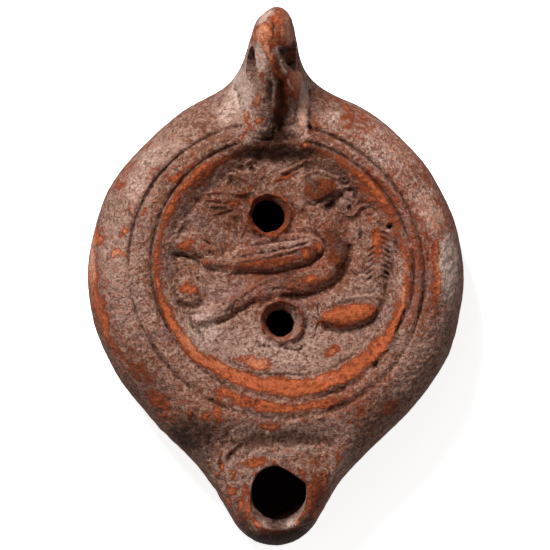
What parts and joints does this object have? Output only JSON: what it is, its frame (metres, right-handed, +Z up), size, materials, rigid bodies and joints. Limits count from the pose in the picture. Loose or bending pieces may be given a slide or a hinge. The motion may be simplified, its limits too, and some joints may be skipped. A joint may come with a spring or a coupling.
{
  "type": "roman oil lamp",
  "caption": "Mould-made fired clay oil lamp with a sunken relief disc, filling hole, air hole, rounded nozzle with wick hole and a pierced handle.",
  "frame": {"origin": "centre of the flat foot that the lamp stands on", "axes": "+Z up, -Y towards the nozzle, +Y towards the handle, +X to the right as seen from above with the handle at the top"},
  "size_m": [0.0776, 0.112, 0.0448],
  "materials": {
    "fired_clay": "matt red-brown clay with a worn grey-brown slip"
  },
  "bodies": {
    "root": {"oil_lamp": "fired_clay"}
  },
  "joints": []
}
